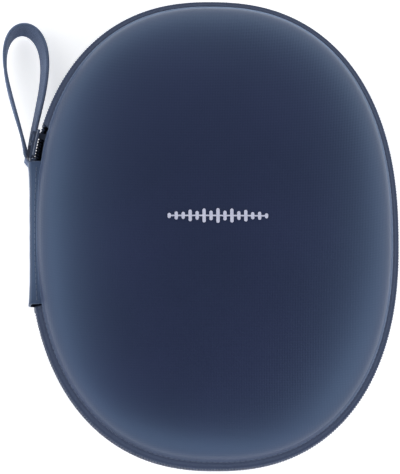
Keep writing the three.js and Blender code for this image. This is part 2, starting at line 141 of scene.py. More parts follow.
# Camera: a long lens nearly overhead, VIEW_HEIGHT millimetres from the picture's bottom to its top.
# It aims to the right of and above the point SIGHT_Z over the origin by AIM_SHIFT.
TILT_X = math.radians(4.2)
TILT_Y = math.radians(10.5)
ROLL = -0.004
VIEW_HEIGHT = 216.8076
AIM_SHIFT = (-6.44934, -1.05202)
CAMERA_DISTANCE = 2200.0
SIGHT_Z = 30.0

# Studio: brightness of the white tent low down and overhead, and of the floor's own glow. The
# lights are placed and sized in metres and watts, as Blender takes them.
HORIZON_LIGHT = 1.9
ZENITH_LIGHT = 0.12
FLOOR_GLOW = 0.5
FLOOR_HALF = 20000
LIGHT_AIM = (0, 0, 0.03)

# ---- Outline -------------------------------------------------------------------------------


def outline_radius(angle):
    x = np.abs(np.cos(angle) / HALF_WIDTH) ** SQUARENESS
    y = np.abs(np.sin(angle) / HALF_LENGTH) ** SQUARENESS
    return (x + y) ** (-1 / SQUARENESS)


def rim(angle, inset):
    """Points on the outline at these angles, moved inward by inset. Works on arrays."""
    r = outline_radius(angle)
    x, y = r * np.cos(angle), r * np.sin(angle)
    nx = np.sign(x) * np.abs(x) ** (SQUARENESS - 1) / HALF_WIDTH**SQUARENESS
    ny = np.sign(y) * np.abs(y) ** (SQUARENESS - 1) / HALF_LENGTH**SQUARENESS
    length = np.hypot(nx, ny)
    return x - inset * nx / length, y - inset * ny / length


def hinge_side_angle(y):
    x = HALF_WIDTH * (1 - (abs(y) / HALF_LENGTH) ** SQUARENESS) ** (1 / SQUARENESS)
    return math.atan2(y, -x)


def whole_turn():
    return np.arange(SIDES) * TAU / SIDES


def even_angles(start, end, step):
    """Angles from start to end whose points are evenly spaced, about step millimetres apart."""
    fine = np.linspace(start, end, 6000)
    x, y = rim(fine, 0.0)
    run = np.concatenate([[0], np.cumsum(np.hypot(np.diff(x), np.diff(y)))])
    count = max(2, int(round(run[-1] / step)))
    return np.interp(np.linspace(0, run[-1], count + 1), run, fine)


def chain_angles(from_y, to_y, step=2.5):
    return even_angles(hinge_side_angle(from_y), hinge_side_angle(to_y), step)


# ---- Meshes --------------------------------------------------------------------------------


def add_object(name, points, faces, material, smooth=True, uv=None):
    mesh = bpy.data.meshes.new(name)
    mesh.from_pydata([tuple(p) for p in np.asarray(points) * MM], [], [tuple(f) for f in faces])
    mesh.validate()
    if uv is not None:
        layer = mesh.uv_layers.new(name="UVMap")
        index = np.empty(len(mesh.loops), int)
        mesh.loops.foreach_get("vertex_index", index)
        layer.data.foreach_set("uv", np.asarray(uv, float)[index].ravel())
    bm = bmesh.new()
    bm.from_mesh(mesh)
    bmesh.ops.recalc_face_normals(bm, faces=bm.faces)
    bm.to_mesh(mesh)
    bm.free()
    mesh.polygons.foreach_set("use_smooth", [smooth] * len(mesh.polygons))
    obj = bpy.data.objects.new(name, mesh)
    bpy.context.scene.collection.objects.link(obj)
    mesh.materials.append(material)
    return obj


def tube_faces(rows, count, ring):
    last = rows if ring else rows - 1
    faces = []
    for r in range(last):
        here, there = r * count, ((r + 1) % rows) * count
        for i in range(count):
            j = (i + 1) % count
            faces.append((here + i, here + j, there + j, there + i))
    if not ring:
        faces.append(tuple(range(count))[::-1])
        faces.append(tuple((rows - 1) * count + i for i in range(count)))
    return faces


def tube_object(name, rows, material, ring=False, with_uv=False):
    """rows is (stations, loop points, 3), joined into one closed band."""
    rows = np.asarray(rows, float)
    uv = None
    if with_uv:
        along = np.concatenate([[0], np.cumsum(np.linalg.norm(np.diff(rows[:, 0], axis=0), axis=1))])
        loop = np.roll(rows, -1, axis=1)
        across = np.concatenate(
            [[0], np.cumsum(np.linalg.norm((loop - rows)[0], axis=1))[:-1]]
        )
        u, v = np.meshgrid(along, across, indexing="ij")
        uv = np.stack([u, v], -1).reshape(-1, 2) * MM
    return add_object(
        name, rows.reshape(-1, 3), tube_faces(rows.shape[0], rows.shape[1], ring), material, uv=uv
    )


def rounded(profile, radius, steps=3):
    """A closed profile with each corner turned into a small arc."""
    points = [np.array(p, float) for p in profile]
    out = []
    for i, p in enumerate(points):
        a, b = points[i - 1] - p, points[(i + 1) % len(points)] - p
        la, lb = np.linalg.norm(a), np.linalg.norm(b)
        r = min(radius, 0.45 * la, 0.45 * lb)
        start, end = p + a / la * r, p + b / lb * r
        for k in range(steps + 1):
            t = k / steps
            out.append((1 - t) ** 2 * start + 2 * t * (1 - t) * p + t * t * end)
    return np.array(out)


def outline_band(name, profile, angles, material, ring=False):
    """A profile of [inset, z] points carried along the outline."""
    profile = np.asarray(profile, float)
    rows = []
    for angle in angles:
        x, y = rim(np.full(len(profile), angle), profile[:, 0])
        rows.append(np.stack([x, y, profile[:, 1]], -1))
    return tube_object(name, rows, material, ring=ring, with_uv=True)


def bowl_object(name, rings, pole_a, pole_b, material):
    """rings of (inset, scale, z) from the outer pole to the inner pole."""
    angles = whole_turn()
    points = []
    for inset, scale, z in rings:
        x, y = rim(angles, inset)
        points.append(np.stack([x * scale, y * scale, np.full(SIDES, z)], -1))
    points = np.concatenate(points)
    faces = []
    for r in range(len(rings) - 1):
        for i in range(SIDES):
            j = (i + 1) % SIDES
            a, b = r * SIDES, (r + 1) * SIDES
            faces.append((a + i, a + j, b + j, b + i))
    first, last = len(points), len(points) + 1
    points = np.concatenate([points, [[0, 0, pole_a], [0, 0, pole_b]]])
    end = (len(rings) - 1) * SIDES
    for i in range(SIDES):
        j = (i + 1) % SIDES
        faces.append((first, j, i))
        faces.append((last, end + i, end + j))
    return add_object(name, points, faces, material)


def copies(name, shape_points, shape_faces, matrices, material):
    """One mesh of many copies of a small shape."""
    shape = np.c_[np.asarray(shape_points, float), np.ones(len(shape_points))]
    points = np.concatenate([(shape @ np.array(m).T)[:, :3] for m in matrices])
    count = len(shape_points)
    faces = [tuple(i + k * count for i in f) for k in range(len(matrices)) for f in shape_faces]
    return add_object(name, points, faces, material)


def capsule(length, radius, depth, sides=6, rings=3):
    """A rounded bar along X, centred at the origin, radius wide and depth high either way."""
    points = []
    turns = np.linspace(0.35, math.pi / 2, rings)
    stations = [(-length / 2 + radius * (1 - math.cos(a)), math.sin(a)) for a in turns]
    stations += [(-x, s) for x, s in reversed(stations)]
    for x, s in stations:
        for i in range(sides):
            a = TAU * i / sides
            points.append((x, radius * s * math.cos(a), depth * s * math.sin(a)))
    return points, tube_faces(len(stations), sides, False)


def axes_matrix(origin, along, up):
    """A matrix whose X runs along, Z near up, at origin."""
    x = Vector(along).normalized()
    z = (Vector(up) - x * Vector(up).dot(x)).normalized()
    y = z.cross(x)
    m = Matrix((x, y, z)).transposed().to_4x4()
    m.translation = Vector(origin)
    return m


# ---- Materials -----------------------------------------------------------------------------


class Shader:
    """A Principled material with short helpers for its nodes."""

    def __init__(self, name, roughness, **sockets):
        self.material = bpy.data.materials.new(name)
        self.material.use_nodes = True
        self.tree = self.material.node_tree
        self.bsdf = self.tree.nodes["Principled BSDF"]
        self.bsdf.inputs["Roughness"].default_value = roughness
        for key, value in sockets.items():
            self.bsdf.inputs[key.replace("_", " ")].default_value = value

    def node(self, kind, **values):
        node = self.tree.nodes.new(kind)
        for key, value in values.items():
            if key in node.inputs:
                node.inputs[key].default_value = value
            else:
                setattr(node, key, value)
        return node

    def link(self, a, b):
        self.tree.links.new(a, b)

    def coords(self, kind="Object", scale=(1, 1, 1)):
        source = self.node("ShaderNodeTexCoord")
        mapping = self.node("ShaderNodeMapping")
        mapping.inputs["Scale"].default_value = scale
        self.link(source.outputs[kind], mapping.inputs["Vector"])
        return mapping.outputs["Vector"]

    def noise(self, vector, scale, detail=3.0):
        node = self.node("ShaderNodeTexNoise", Scale=scale, Detail=detail)
        self.link(vector, node.inputs["Vector"])
        return node.outputs["Fac"]

    def wave(self, vector, scale, direction):
        node = self.node("ShaderNodeTexWave", Scale=scale, Distortion=0.0)
        node.bands_direction = direction
        self.link(vector, node.inputs["Vector"])
        return node.outputs["Fac"]

    def steepness(self):
        """0 where the surface is level, 1 where it is upright."""
        source = self.node("ShaderNodeTexCoord")
        split = self.node("ShaderNodeSeparateXYZ")
        self.link(source.outputs["Normal"], split.inputs["Vector"])
        level = self.math("ABSOLUTE", split.outputs["Z"], 0)
        return self.math("POWER", self.math("SUBTRACT", 1, level), 2)

    def math(self, operation, a, b):
        node = self.node("ShaderNodeMath", operation=operation)
        for socket, value in zip(node.inputs, (a, b)):
            if isinstance(value, (int, float)):
                socket.default_value = value
            else:
                self.link(value, socket)
        return node.outputs["Value"]

    def colours(self, factor, dark, light, low=0.3, high=0.7):
        ramp = self.node("ShaderNodeValToRGB")
        ramp.color_ramp.elements[0].position = low
        ramp.color_ramp.elements[1].position = high
        ramp.color_ramp.elements[0].color = (*dark, 1)
        ramp.color_ramp.elements[1].color = (*light, 1)
        self.link(factor, ramp.inputs["Fac"])
        self.link(ramp.outputs["Color"], self.bsdf.inputs["Base Color"])

    def rough(self, factor, low, high):
        node = self.node("ShaderNodeMapRange")
        node.inputs["To Min"].default_value = low
        node.inputs["To Max"].default_value = high
        self.link(factor, node.inputs["Value"])
        self.link(node.outputs["Result"], self.bsdf.inputs["Roughness"])

    def bump(self, height, distance, strength=1.0):
        node = self.node("ShaderNodeBump", Distance=distance, Strength=strength)
        self.link(height, node.inputs["Height"])
        if self.bsdf.inputs["Normal"].is_linked:
            before = self.bsdf.inputs["Normal"].links[0].from_socket
            self.link(before, node.inputs["Normal"])
        self.link(node.outputs["Normal"], self.bsdf.inputs["Normal"])


def cover_fabric():
    s = Shader("cover_fabric", 0.42, Specular_IOR_Level=1.0, Sheen_Weight=0.5, Sheen_Roughness=0.3)
    s.bsdf.inputs["Specular Tint"].default_value = (0.42, 0.68, 1.0, 1)
    s.bsdf.inputs["Sheen Tint"].default_value = (0.42, 0.62, 0.95, 1)
    where = s.coords()
    level = s.math("ADD", s.wave(where, 420, "X"), s.wave(where, 420, "Y"))
    upright = s.math("MULTIPLY", s.wave(where, 420, "Z"), s.steepness())
    threads = s.math("ADD", level, upright)
    grain = s.noise(where, 900, 4)
    cloudy = s.noise(where, 22, 3)
    s.colours(cloudy, (0.0076, 0.0064, 0.031), (0.0103, 0.0088, 0.039))
    s.rough(grain, 0.38, 0.5)
    s.bump(threads, 0.00005, 0.35)
    s.bump(grain, 0.00006, 0.3)
    s.bump(s.noise(where, 45, 2), 0.0004, 0.12)
    return s.material


def shell_foam():
    s = Shader("shell_foam", 0.9, Specular_IOR_Level=0.2)
    where = s.coords()
    grain = s.noise(where, 1500, 3)
    s.colours(grain, (0.012, 0.012, 0.014), (0.026, 0.026, 0.03))
    s.bump(grain, 0.0001, 0.5)
    return s.material


def velour():
    s = Shader("velour", 0.95, Specular_IOR_Level=0.12, Sheen_Weight=0.6, Sheen_Roughness=0.5)
    s.bsdf.inputs["Sheen Tint"].default_value = (0.5, 0.52, 0.65, 1)
    where = s.coords()
    pile = s.noise(where, 1900, 3)
    patches = s.noise(where, 34, 4)
    s.colours(patches, (0.014, 0.015, 0.021), (0.028, 0.029, 0.04), 0.38, 0.62)
    s.bump(pile, 0.00025, 0.6)
    s.bump(patches, 0.0008, 0.25)
    return s.material


def woven(name, dark, light, pitch, sheen=0.3, distance=0.0002):
    """Ribbed weave that runs along a band's own length. A larger pitch gives coarser ribs."""
    s = Shader(name, 0.8, Specular_IOR_Level=0.25, Sheen_Weight=sheen, Sheen_Roughness=0.4)
    s.bsdf.inputs["Sheen Tint"].default_value = (0.5, 0.6, 0.85, 1)
    where = s.coords("UV")
    threads = s.math("MULTIPLY", s.wave(where, 1 / pitch, "X"), s.wave(where, 0.6 / pitch, "Y"))
    fuzz = s.noise(s.coords(), 1400, 3)
    tone = s.math("ADD", s.math("MULTIPLY", threads, 0.7), s.math("MULTIPLY", fuzz, 0.5))
    s.colours(tone, dark, light, 0.2, 0.8)
    s.bump(threads, distance, 0.7)
    s.bump(fuzz, 0.00008, 0.4)
    return s.material


def coil_nylon():
    s = Shader("coil_nylon", 0.38, Specular_IOR_Level=0.45)
    where = s.coords()
    tone = s.noise(where, 260, 2)
    s.colours(tone, (0.03, 0.042, 0.085), (0.055, 0.076, 0.14))
    s.rough(s.noise(where, 700, 2), 0.3, 0.5)
    s.bump(s.noise(where, 1800, 2), 0.00004, 0.4)
    return s.material


def painted_zinc():
    s = Shader("painted_zinc", 0.34, Specular_IOR_Level=0.6, Coat_Weight=0.25, Coat_Roughness=0.2)
    where = s.coords()
    wear = s.noise(where, 420, 5)
    s.colours(wear, (0.042, 0.06, 0.11), (0.12, 0.15, 0.22), 0.5, 0.86)
    s.rough(s.noise(where, 900, 3), 0.26, 0.46)
    s.bump(s.noise(where, 1300, 3), 0.00005, 0.35)
    return s.material


def grip_rubber():
    s = Shader("grip_rubber", 0.6, Specular_IOR_Level=0.35)
    where = s.coords()
    ribs = s.wave(where, 230, "Y")
    fuzz = s.noise(where, 1600, 2)
    s.colours(fuzz, (0.014, 0.018, 0.036), (0.024, 0.03, 0.055))
    s.bump(ribs, 0.0002, 0.5)
    s.bump(fuzz, 0.00005, 0.3)
    return s.material


def netting():
    """Knitted net: round holes in rows, half a step apart, painted as near-black dots on an opaque sheet:
    painted shade in place of openings onto the dim lining.
    """
    s = Shader("netting", 0.85, Specular_IOR_Level=0.2, Sheen_Weight=0.25)
    where = s.coords("Object", (1, 1, 0.0))
    cells = s.node("ShaderNodeTexVoronoi", Scale=520.0, Randomness=0.12)
    s.link(where, cells.inputs["Vector"])
    # Near-black cell middles are painted shade standing in for the holes; the lighter cell edges are the
    # net's own thread colour.
    s.colours(cells.outputs["Distance"], (0.004, 0.004, 0.006), (0.05, 0.053, 0.075), 0.22, 0.42)
    s.bump(cells.outputs["Distance"], 0.0005, 0.9)
    return s.material


def mark_print():
    s = Shader("mark_print", 0.5, Specular_IOR_Level=0.4)
    where = s.coords()
    tone = s.noise(where, 700, 3)
    s.colours(tone, (0.46, 0.47, 0.6), (0.56, 0.57, 0.69))
    s.bump(tone, 0.00005, 0.4)
    return s.material


def thread():
    s = Shader("thread", 0.7, Specular_IOR_Level=0.3, Sheen_Weight=0.3)
    where = s.coords()
    twist = s.noise(where, 2400, 2)
    s.colours(twist, (0.055, 0.072, 0.125), (0.1, 0.13, 0.2))
    s.bump(twist, 0.00006, 0.5)
    return s.material


COVER = cover_fabric()
FOAM = shell_foam()
VELOUR = velour()
TAPE = woven("zipper_tape", (0.026, 0.037, 0.075), (0.058, 0.08, 0.14), 0.0006)
WEBBING = woven("webbing", (0.06, 0.085, 0.15), (0.17, 0.225, 0.36), 0.0011, 0.5, distance=0.0003)
BINDING = woven("binding_tape", (0.016, 0.018, 0.032), (0.042, 0.047, 0.075), 0.0007)
COIL = coil_nylon()
ZINC = painted_zinc()
RUBBER = grip_rubber()
NET = netting()
PRINT = mark_print()
THREAD = thread()


def finish_piece(obj, body, slot, *nodes):
    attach(obj, body)
    if nodes:
        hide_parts(*nodes)
    return obj


# ---- Shells --------------------------------------------------------------------------------


def smooth_wall():
    """The base wall as a fine curve through its corner points, by repeated corner cutting."""
    line = [np.array(p, float) for p in BASE_WALL]
    for _ in range(3):
        cut = [line[0]]
        for a, b in zip(line, line[1:]):
            cut += [a * 0.75 + b * 0.25, a * 0.25 + b * 0.75]
        line = [*cut, line[-1]]
    return np.array(line)


def inset_line(line, distance):
    tangent = np.gradient(line, axis=0)
    tangent /= np.linalg.norm(tangent, axis=1)[:, None]
    moved = line + distance * np.stack([-tangent[:, 1], tangent[:, 0]], -1)
    moved[0] = line[0] + (distance, 0)
    moved[-1] = line[-1] + (distance / 2, distance)
    return moved


def lip(z, edge_z, sign):
    """How far the moulded edge stands out near the rim."""
    t = np.clip(1 - sign * (z - edge_z) / LIP_HEIGHT, 0, 1)
    return LIP_OUT * t * t * (3 - 2 * t)


def base_layer(name, layer, material, slot, node, edge=0.25, lipped=False):
    """One closed skin of the base. Its rings run up the outside, over the edge and down inside."""
    depth, thickness = layer
    wall = smooth_wall()
    edge_z = PARTING_Z - RIM_GAP
    outer = inset_line(wall, depth)
    inner = inset_line(wall, depth + thickness)
    rings = []
    for scale in (0.25, 0.5, 0.75, 0.93):
        rings.append((outer[-1][0], scale, depth))
    for inset, z in outer[::-1][:-1]:
        rings.append((inset - (lip(z, edge_z, -1) if lipped else 0), 1, z))
    top = outer[0][0] - (LIP_OUT if lipped else 0)
    rings += [(top, 1, edge_z - edge), (top + edge * 0.3, 1, edge_z - edge * 0.3), (top + edge, 1, edge_z)]
    rings += [(inner[0][0] - edge, 1, edge_z), (inner[0][0], 1, edge_z - edge)]
    for inset, z in inner[1:]:
        rings.append((inset, 1, z))
    for scale in (0.93, 0.75, 0.5, 0.25):
        rings.append((inner[-1][0], scale, depth + thickness))
    obj = bowl_object(name, rings, depth, depth + thickness, material)
    return finish_piece(obj, "base", slot, node)


def dome_rise(t):
    return (1 - t**DOME_POWER) ** (1 / DOME_POWER)


def dome_steps():
    """Fractions of the radius from the rim inward, close together near the rim."""
    a = np.linspace(0, math.pi / 2, 34)[:-1]
    return np.cos(a) ** (2 / DOME_POWER)


def lid_layer(name, layer, material, slot, node, edge=0.25, lipped=False):
    """One closed skin of the lid. Its rings run down the outside, round the edge and up inside."""
    depth, thickness = layer
    edge_z = PARTING_Z + RIM_GAP
    rise = CASE_HEIGHT - edge_z

    def side(d, with_lip):
        out = []
        for t in dome_steps():
            z = edge_z + (rise - d) * dome_rise(t)
            out.append([WALL_INSET + d - (lip(z, edge_z, 1) if with_lip else 0), t, z])
        return out

    outer, inner = side(depth, lipped), side(depth + thickness, False)
    top = outer[0][0]
    rings = [tuple(r) for r in outer[::-1][:-1]]
    rings += [(top, 1, edge_z + edge), (top + edge * 0.3, 1, edge_z + edge * 0.3), (top + edge, 1, edge_z)]
    rings += [(inner[0][0] - edge, 1, edge_z), (inner[0][0], 1, edge_z + edge)]
    rings += [tuple(r) for r in inner[1:]]
    obj = bowl_object(name, rings, CASE_HEIGHT - depth, CASE_HEIGHT - depth - thickness, material)
    return finish_piece(obj, "lid", slot, node)


def shells():
    base_layer("base_skin", COVER_LAYER, COVER, "cover_fabric", "base_cover", 0.3, lipped=True)
    base_layer("base_velour", LINING_LAYER, VELOUR, "lining", "base_lining")
    lid_layer("lid_skin", COVER_LAYER, COVER, "cover_fabric", "lid_cover", 0.3, lipped=True)
    lid_layer("lid_velour", LINING_LAYER, VELOUR, "lining", "lid_lining")


# ---- Zipper --------------------------------------------------------------------------------


def at_parting(profile, up):
    sign = -1 if up else 1
    return [(inset, PARTING_Z + sign * h) for inset, h in profile]


def tapes():
    chain = chain_angles(CHAIN_START_Y, -CHAIN_START_Y)
    profile = rounded(at_parting(TAPE_LINE, False), 0.3)
    finish_piece(outline_band("base_tape", profile, chain, TAPE), "base", "zipper_tape", "base_zipper_tape")
    lid_tape()


def lid_tape():
    """The lid's tape is cut back to the wall where the slider parks."""
    full = np.array(TAPE_LINE, float)
    short = full.copy()
    outer = full[:, 0] < 2
    short[outer] += (np.array([WALL_INSET + 0.6, -6.0]) - full[outer]) * 0.8
    profiles = [rounded(at_parting(p, True), 0.25) for p in (short, full)]
    split = hinge_side_angle(LID_CHAIN_START_Y)
    angles = chain_angles(CHAIN_START_Y, -CHAIN_START_Y)
    rows = []
    for angle in angles:
        p = profiles[0] if angle > split else profiles[1]
        x, y = rim(np.full(len(p), angle), p[:, 0])
        rows.append(np.stack([x, y, p[:, 1]], -1))
    obj = tube_object("lid_tape", rows, TAPE, with_uv=True)
    finish_piece(obj, "lid", "zipper_tape", "lid_zipper_tape")


def tooth_shape():
    """One turn of the coil: a flat rounded loop, X along the chain, Y outward, Z across."""
    points, faces = capsule(TOOTH_WIDTH, 0.46, 0.46, 8, 4)
    turned = [(y, z * 2.35, x) for x, y, z in points]
    return turned, faces


def coil(name, up, from_y, to_y, body, node, phase):
    """The row of turns on one side of the chain."""
    angles = chain_angles(from_y, to_y, TOOTH_PITCH)
    sign = 1 if up else -1
    matrices = []
    for k in range(len(angles) - 1):
        angle = angles[k] + (angles[k + 1] - angles[k]) * phase
        x, y = rim(np.array([angle]), 1.2)
        x0, y0 = rim(np.array([angle]), 0.0)
        out = Vector((x0[0] - x[0], y0[0] - y[0], 0)).normalized()
        along = Vector((0, 0, 1)).cross(out)
        up_axis = Vector((0, 0, 1))
        m = Matrix((along, out, up_axis)).transposed().to_4x4()
        m.translation = Vector((x[0], y[0], PARTING_Z + sign * (TOOTH_GAP + TOOTH_WIDTH / 2)))
        matrices.append(m)
    points, faces = tooth_shape()
    obj = copies(name, points, faces, matrices, COIL)
    return finish_piece(obj, body, "zipper_coil", node)


def zipper():
    tapes()
    end = -CHAIN_START_Y - STOP_LENGTH - 0.1
    coil("base_coil", False, CHAIN_START_Y, end, "base", "base_zipper_coil", 0.25)
    coil("lid_coil", True, LID_CHAIN_START_Y, end, "lid", "lid_zipper_coil", 0.75)
    for up, body in ((False, "base"), (True, "lid")):
        profile = rounded(at_parting(BINDING_LINE, up), 0.6)
        obj = outline_band(f"{body}_piping", profile, whole_turn(), BINDING, ring=True)
        finish_piece(obj, body, "webbing", f"{body}_binding")


def stitch_row(name, inset, height, from_y, to_y, body, lean):
    """A row of stitches round a tape, their tops tipped up or down by lean."""
    angles = chain_angles(from_y, to_y, STITCH_PITCH)
    matrices = []
    for angle in angles[1:-1]:
        (x,), (y,) = rim(np.array([angle]), inset)
        (x0,), (y0,) = rim(np.array([angle]), 0.0)
        out = Vector((x0 - x, y0 - y, 0)).normalized()
        along = Vector((0, 0, 1)).cross(out)
        normal = (out * math.cos(lean) + Vector((0, 0, 1)) * math.sin(lean)).normalized()
        matrices.append(axes_matrix((x, y, PARTING_Z + height), along, normal))
    points, faces = capsule(STITCH_LENGTH, *THREAD_SIZE)
    obj = copies(name, points, faces, matrices, THREAD)
    return finish_piece(obj, body, "zipper_tape")


def tape_stitches():
    stitch_row("base_tape_stitches", 3.35, -5.83, CHAIN_START_Y, -CHAIN_START_Y, "base", lean=-0.7)
    stitch_row("lid_tape_stitches", 3.35, 5.83, LID_CHAIN_START_Y, -CHAIN_START_Y, "lid", lean=0.7)


def side_weave(obj):
    """Lays the weave flat on a piece that faces along X."""
    layer = obj.data.uv_layers.new(name="UVMap")
    for loop in obj.data.loops:
        point = obj.data.vertices[loop.vertex_index].co
        layer.data[loop.index].uv = (point.y, point.z)


def hardware():
    """These pieces keep their CAD shape. Those with a width get softened edges."""
    finishes = {
        "slider_body": (ZINC, 0.25),
        "slider_crown": (ZINC, 0.35),
        "pull_tab": (ZINC, 0.25),
        "pull_grip": (RUBBER, 0.3),
        "base_end_stop": (ZINC, 0.2),
        "lid_end_stop": (ZINC, 0.2),
        "loop_anchor": (WEBBING, 0.5),
        "base_shell": (FOAM, 0.0),
        "lid_shell": (FOAM, 0.0),
    }
    side_weave(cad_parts["loop_anchor"])
    for name, (material, width) in finishes.items():
        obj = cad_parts[name]
        obj.data.materials.clear()
        obj.data.materials.append(material)
        if width:
            bevel = obj.modifiers.new("soft_edges", "BEVEL")
            bevel.width = width * MM
            bevel.segments = 3
            bevel.limit_method = "ANGLE"
            bevel.angle_limit = math.radians(28)
            bevel.harden_normals = False


# ---- Soft hinge ----------------------------------------------------------------------------


def spine_section(y):
    """Down the outer face and back up the inner one, as (x, height from the parting plane)."""
    (wall_x,), _ = rim(np.array([hinge_side_angle(y)]), WALL_INSET)
    face = SPINE_FACE_X - 0.7 * (abs(y) / SPINE_HALF) ** 6
    back = face + SPINE_THICKNESS
    half = [(wall_x + 2.1, 6.4), (wall_x - 0.2, 6.4), (face + 0.7, 4.6), (face, 3.2), (face, 1.1)]
    inner = [(back, 1.1), (back, 3.0), (back + 0.6, 4.2), (wall_x + 0.2, 5.6), (wall_x + 2.1, 5.6)]
    half_below = [(x, -h) for x, h in half][::-1]
    inner_below = [(x, -h) for x, h in inner][::-1]
    return [*half, *half_below, *inner_below, *inner]


def spine():
    tucked = SPINE_HALF - SPINE_END_TUCK
    stations = np.concatenate([[-SPINE_HALF], np.linspace(-tucked, tucked, 67), [SPINE_HALF]])
    rows = []
    for i, y in enumerate(stations):
        section = rounded(spine_section(np.clip(y, -tucked, tucked)), 0.5, 3)
        if i in (0, len(stations) - 1):
            middle = section.mean(axis=0)
            section = section + (middle - section) * 0.04
        ripple = 0.1 * math.sin(y * 0.55) * math.sin(y * 0.21 + 1)
        rows.append([(x + ripple * math.exp(-((h / 3) ** 2)), y, PARTING_Z + h) for x, h in section])
    obj = tube_object("spine_skin", rows, COVER, with_uv=True)
    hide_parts("spine_panel")
    blend_spine(obj)
    spine_velour()
    spine_stitches()


def spine_velour():
    (outer, inner), (half, tall) = SPINE_LINING_X, SPINE_LINING_HALF
    lining_box = [(outer, -tall), (inner, -tall), (inner, tall), (outer, tall)]
    section = []
    for (x0, h0), (x1, h1) in zip(lining_box, lining_box[1:] + lining_box[:1]):
        section += [(x0 + (x1 - x0) * t, h0 + (h1 - h0) * t) for t in (0, 0.25, 0.5, 0.75)]
    rows = [[(x, y, PARTING_Z + h) for x, h in section] for y in np.linspace(-half, half, 32)]
    obj = tube_object("spine_velour", rows, VELOUR)
    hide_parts("spine_lining")
    blend_spine(obj)


def blend_spine(obj):
    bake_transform(obj)


def spine_stitches():
    """A row along each long edge, on the sloping part of the face."""
    points, faces = capsule(STITCH_LENGTH, *THREAD_SIZE)
    for up, body in ((-1, "base"), (1, "lid")):
        matrices = []
        for y in np.arange(-30.5, 31, STITCH_PITCH):
            (x0, h0), (x1, h1) = spine_section(y)[1:3]
            x = x0 + (x1 - x0) * 0.45
            h = h0 + (h1 - h0) * 0.45
            normal = Vector((-0.75, 0, 0.66 * up))
            matrices.append(axes_matrix((x - 0.03, y, PARTING_Z + up * h), (0, 1, 0), normal))
        obj = copies(f"{body}_spine_stitches", points, faces, matrices, THREAD)
        finish_piece(obj, body, "zipper_tape")


# ---- Carry loop ----------------------------------------------------------------------------


def loop_plan(turn):
    s, c = math.sin(turn / 2), math.cos(turn / 2)
    return -2 * LOOP_HALF_WIDTH * s**3 * c, LOOP_LENGTH * s * s


def loop_point(turn, across, up):
    """The CAD strap's own formula: across is outward of the drop shape, up is the strap's width."""
    s = math.sin(turn / 2)
    side, reach = loop_plan(turn)
    reach += LOOP_END_REACH
    side -= LOOP_END_OFFSET * (1 if turn < math.pi else -1) * (1 - s * s)
    x0, y0 = loop_plan(max(turn - 0.01, 0.001))
    x1, y1 = loop_plan(min(turn + 0.01, TAU - 0.001))
    tangent = Vector((x1 - x0, y1 - y0, 0)).normalized()
    outward = Vector((-tangent.y, tangent.x, 0))
    local = Vector((side, reach, 0)) + outward * (across * math.cos(LOOP_FLARE) + up * math.sin(LOOP_FLARE))
    local.z += up * math.cos(LOOP_FLARE) - across * math.sin(LOOP_FLARE)
    local = Matrix.Rotation(LOOP_ROLL * min(1, reach / 30), 3, "Y") @ local
    local = Matrix.Rotation(-LOOP_DROOP, 3, "X") @ local
    local = Matrix.Rotation(-LOOP_LEAN, 3, "Z") @ local
    return Vector(LOOP_ROOT) + local


def strap_section():
    """Points as (thickness, width), a little thicker at both woven edges."""
    half, thick = STRAP_HALF_WIDTH, STRAP_HALF_THICKNESS
    outer = []
    for v in np.linspace(-1, 1, 21):
        edge = math.exp(-(((abs(v) - 0.9) / 0.07) ** 2)) * 0.07
        closing = math.sqrt(max(0.0, 1 - max(0, (abs(v) - 0.94) / 0.06) ** 2))
        outer.append(((thick + edge) * closing, v * half))
    return outer[1:-1] + [(0, half)] + [(-t, v) for t, v in outer[1:-1][::-1]] + [(0, -half)]


def carry_loop():
    section = strap_section()
    rows = []
    for k in range(241):
        turn = TAU * k / 240
        rows.append([loop_point(turn, t, v) for t, v in section])
    obj = tube_object("loop_strap", rows, WEBBING, with_uv=True)
    finish_piece(obj, "loop", "webbing", "carry_loop")


# ---- Inside --------------------------------------------------------------------------------


def pocket_angles(count):
    start = math.pi - hinge_side_angle(POCKET_TOP_Y)
    return np.linspace(start, -math.pi - start, count)


def pocket():
    """The net panel hangs a little towards the middle, under a gathered elastic hem."""
    edge_x, edge_y = rim(pocket_angles(97), POCKET_INSET)
    centre = np.array([0.0, NET_CENTRE_Y])
    edge = np.stack([edge_x, edge_y], -1)
    hem = edge[-1] + (edge[0] - edge[-1]) * np.linspace(0, 1, 33)[1:-1, None]
    ring = np.concatenate([edge, hem])
    points, faces = [], []
    count = len(ring)
    levels = np.linspace(1, 0.06, 16)
    for side in (0, 1):
        for t in levels:
            z = POCKET_Z - NET_SAG * (1 - t * t) + NET_THICKNESS * side
            xy = centre + (ring - centre) * t
            points += [(x, y, z) for x, y in xy]
    half = len(levels) * count
    for side in (0, 1):
        for r in range(len(levels) - 1):
            for i in range(count):
                j = (i + 1) % count
                a = side * half + r * count
                faces.append((a + i, a + j, a + count + j, a + count + i))
        faces.append(tuple(side * half + (len(levels) - 1) * count + i for i in range(count)))
    for i in range(count):
        j = (i + 1) % count
        faces.append((i, j, half + j, half + i))
    net = add_object("pocket_net", points, faces, NET)
    finish_piece(net, "lid", "mesh", "pocket_mesh")


